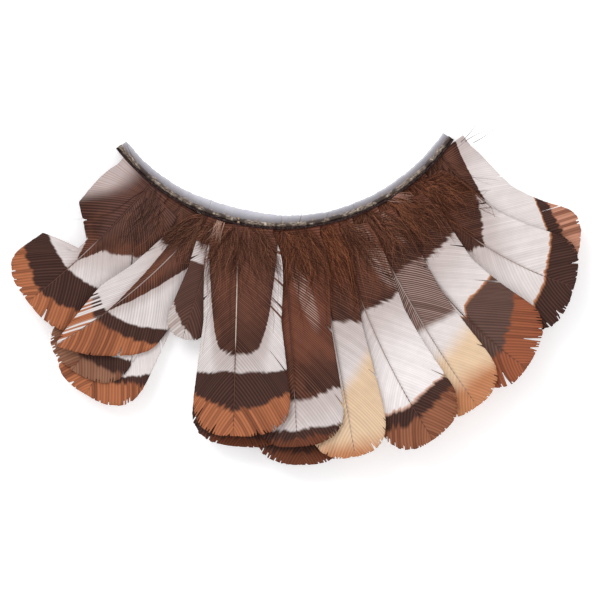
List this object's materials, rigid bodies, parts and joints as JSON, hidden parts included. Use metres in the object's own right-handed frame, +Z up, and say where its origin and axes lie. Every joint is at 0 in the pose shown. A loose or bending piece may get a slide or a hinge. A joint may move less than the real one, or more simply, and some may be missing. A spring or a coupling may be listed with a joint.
{
  "type": "feather strip eyelash",
  "caption": "Curved strip of barred brown, white and copper feathers on a flexible band, worn as a false eyelash on the upper lid.",
  "frame": {"origin": "middle of the band's underside, on its neutral line, where the strip is glued to the lid", "axes": "+X along the band to the wearer-side right as pictured, +Y into the hollow side of its curve, +Z up away from the lid; feathers point towards -Y"},
  "size_m": [0.052, 0.0304, 0.0047],
  "materials": {
    "band_strip": "clear glue strip, slightly milky",
    "dried_glue": "dried glue over pale quill ends",
    "binding_thread": "black cotton thread",
    "quill": "horn-like shaft, brown at the root and pale towards the tip",
    "feather_web": "barred barbs: brown base, white, dark bar, copper tip"
  },
  "bodies": {
    "band_far_left": {"band_strip_far_left": "band_strip", "glue_bead_far_left": "dried_glue", "binding_thread_far_left": "binding_thread", "quill_ends_far_left": "quill"},
    "band_left": {"band_strip_left": "band_strip", "glue_bead_left": "dried_glue", "binding_thread_left": "binding_thread", "quill_ends_left": "quill"},
    "band_middle": {"band_strip_middle": "band_strip", "glue_bead_middle": "dried_glue", "binding_thread_middle": "binding_thread", "quill_ends_middle": "quill"},
    "band_right": {"band_strip_right": "band_strip", "glue_bead_right": "dried_glue", "binding_thread_right": "binding_thread", "quill_ends_right": "quill"},
    "band_far_right": {"band_strip_far_right": "band_strip", "glue_bead_far_right": "dried_glue", "binding_thread_far_right": "binding_thread", "quill_ends_far_right": "quill"},
    "feather_01": {"feather_01_shaft": "quill", "feather_01_vane": "feather_web"},
    "feather_02": {"feather_02_shaft": "quill", "feather_02_vane": "feather_web"},
    "feather_03": {"feather_03_shaft": "quill", "feather_03_vane": "feather_web"},
    "feather_04": {"feather_04_shaft": "quill", "feather_04_vane": "feather_web"},
    "feather_05": {"feather_05_shaft": "quill", "feather_05_vane": "feather_web"},
    "feather_06": {"feather_06_shaft": "quill", "feather_06_vane": "feather_web"},
    "feather_07": {"feather_07_shaft": "quill", "feather_07_vane": "feather_web"},
    "feather_08": {"feather_08_shaft": "quill", "feather_08_vane": "feather_web"},
    "feather_09": {"feather_09_shaft": "quill", "feather_09_vane": "feather_web"},
    "feather_10": {"feather_10_shaft": "quill", "feather_10_vane": "feather_web"},
    "feather_11": {"feather_11_shaft": "quill", "feather_11_vane": "feather_web"},
    "feather_12": {"feather_12_shaft": "quill", "feather_12_vane": "feather_web"},
    "feather_13": {"feather_13_shaft": "quill", "feather_13_vane": "feather_web"},
    "feather_14": {"feather_14_shaft": "quill", "feather_14_vane": "feather_web"},
    "feather_15": {"feather_15_shaft": "quill", "feather_15_vane": "feather_web"}
  },
  "joints": [
    {"name": "flex_right_inner", "type": "hinge", "parent": "band_middle", "child": "band_right", "pos_m": [0.00348, 0.00032, 0], "axis": [0, 0, 1], "range_deg": [-8, 12], "stiffness_Nm_per_rad": 0.0002},
    {"name": "flex_right_outer", "type": "hinge", "parent": "band_right", "child": "band_far_right", "pos_m": [0.00996, 0.00284, 0], "axis": [0, 0, 1], "range_deg": [-8, 12], "stiffness_Nm_per_rad": 0.0002},
    {"name": "flex_left_inner", "type": "hinge", "parent": "band_middle", "child": "band_left", "pos_m": [-0.00348, 0.00032, 0], "axis": [0, 0, -1], "range_deg": [-8, 12], "stiffness_Nm_per_rad": 0.0002},
    {"name": "flex_left_outer", "type": "hinge", "parent": "band_left", "child": "band_far_left", "pos_m": [-0.00996, 0.00284, 0], "axis": [0, 0, -1], "range_deg": [-8, 12], "stiffness_Nm_per_rad": 0.0002},
    {"name": "lift_01", "type": "hinge", "parent": "band_far_left", "child": "feather_01", "pos_m": [-0.01211, 0.00368, 0.00098], "axis": [-0.6884, 0.7254, 0], "range_deg": [0, 21.5], "stiffness_Nm_per_rad": 0.00002},
    {"name": "lift_02", "type": "hinge", "parent": "band_left", "child": "feather_02", "pos_m": [-0.00791, 0.00113, 0.00036], "axis": [-0.8572, 0.515, 0], "range_deg": [0, 3.75], "stiffness_Nm_per_rad": 0.00002},
    {"name": "lift_03", "type": "hinge", "parent": "band_left", "child": "feather_03", "pos_m": [-0.00928, 0.00181, 0.00058], "axis": [-0.8387, 0.5446, 0], "range_deg": [0, 6.25], "stiffness_Nm_per_rad": 0.00002},
    {"name": "lift_04", "type": "hinge", "parent": "band_left", "child": "feather_04", "pos_m": [-0.00697, 0.00074, 0.00098], "axis": [-0.6428, 0.766, 0], "range_deg": [0, 23.25], "stiffness_Nm_per_rad": 0.00002},
    {"name": "lift_05", "type": "hinge", "parent": "band_left", "child": "feather_05", "pos_m": [-0.00552, 0.00025, 0.00098], "axis": [-0.9455, 0.3256, 0], "range_deg": [0, 20], "stiffness_Nm_per_rad": 0.00002},
    {"name": "lift_06", "type": "hinge", "parent": "band_left", "child": "feather_06", "pos_m": [-0.00398, -0.00014, 0.00123], "axis": [-0.9998, 0.0209, 0], "range_deg": [0, 25], "stiffness_Nm_per_rad": 0.00002},
    {"name": "lift_07", "type": "hinge", "parent": "band_middle", "child": "feather_07", "pos_m": [-0.00237, -0.0004, 0.00058], "axis": [-0.9976, 0.0698, 0], "range_deg": [0, 13.75], "stiffness_Nm_per_rad": 0.00002},
    {"name": "lift_08", "type": "hinge", "parent": "band_middle", "child": "feather_08", "pos_m": [0.00017, -0.00055, 0.00098], "axis": [-0.9969, -0.0785, 0], "range_deg": [0, 23.25], "stiffness_Nm_per_rad": 0.00002},
    {"name": "lift_09", "type": "hinge", "parent": "band_middle", "child": "feather_09", "pos_m": [0.00153, -0.00049, 0.00036], "axis": [-0.9998, -0.0175, 0], "range_deg": [0, 11.25], "stiffness_Nm_per_rad": 0.00002},
    {"name": "lift_10", "type": "hinge", "parent": "band_middle", "child": "feather_10", "pos_m": [0.00298, -0.00032, 0.00098], "axis": [-0.9816, -0.1908, 0], "range_deg": [0, 21.62], "stiffness_Nm_per_rad": 0.00002},
    {"name": "lift_11", "type": "hinge", "parent": "band_right", "child": "feather_11", "pos_m": [0.00503, 0.00011, 0.00098], "axis": [-0.9078, -0.4195, 0], "range_deg": [0, 20], "stiffness_Nm_per_rad": 0.00002},
    {"name": "lift_12", "type": "hinge", "parent": "band_right", "child": "feather_12", "pos_m": [0.0076, 0.001, 0.00098], "axis": [-0.8572, -0.515, 0], "range_deg": [0, 18.62], "stiffness_Nm_per_rad": 0.00002},
    {"name": "lift_13", "type": "hinge", "parent": "band_right", "child": "feather_13", "pos_m": [0.00958, 0.00197, 0.00098], "axis": [-0.7547, -0.6561, 0], "range_deg": [0, 17.25], "stiffness_Nm_per_rad": 0.00002},
    {"name": "lift_14", "type": "hinge", "parent": "band_far_right", "child": "feather_14", "pos_m": [0.01211, 0.00368, 0.00098], "axis": [-0.5299, -0.848, 0], "range_deg": [0, 16], "stiffness_Nm_per_rad": 0.00002},
    {"name": "lift_15", "type": "hinge", "parent": "band_far_right", "child": "feather_15", "pos_m": [0.01479, 0.00627, 0.00098], "axis": [-0.5519, -0.8339, 0], "range_deg": [0, 14.88], "stiffness_Nm_per_rad": 0.00002}
  ],
  "couplings": [
    {"joint": "flex_right_outer", "follows": "flex_right_inner", "ratio": 1},
    {"joint": "flex_left_inner", "follows": "flex_right_inner", "ratio": 1},
    {"joint": "flex_left_outer", "follows": "flex_right_inner", "ratio": 1},
    {"joint": "lift_01", "follows": "lift_06", "ratio": 0.86},
    {"joint": "lift_02", "follows": "lift_06", "ratio": 0.15},
    {"joint": "lift_03", "follows": "lift_06", "ratio": 0.25},
    {"joint": "lift_04", "follows": "lift_06", "ratio": 0.93},
    {"joint": "lift_05", "follows": "lift_06", "ratio": 0.8},
    {"joint": "lift_07", "follows": "lift_06", "ratio": 0.55},
    {"joint": "lift_08", "follows": "lift_06", "ratio": 0.93},
    {"joint": "lift_09", "follows": "lift_06", "ratio": 0.45},
    {"joint": "lift_10", "follows": "lift_06", "ratio": 0.865},
    {"joint": "lift_11", "follows": "lift_06", "ratio": 0.8},
    {"joint": "lift_12", "follows": "lift_06", "ratio": 0.745},
    {"joint": "lift_13", "follows": "lift_06", "ratio": 0.69},
    {"joint": "lift_14", "follows": "lift_06", "ratio": 0.64},
    {"joint": "lift_15", "follows": "lift_06", "ratio": 0.595}
  ]
}
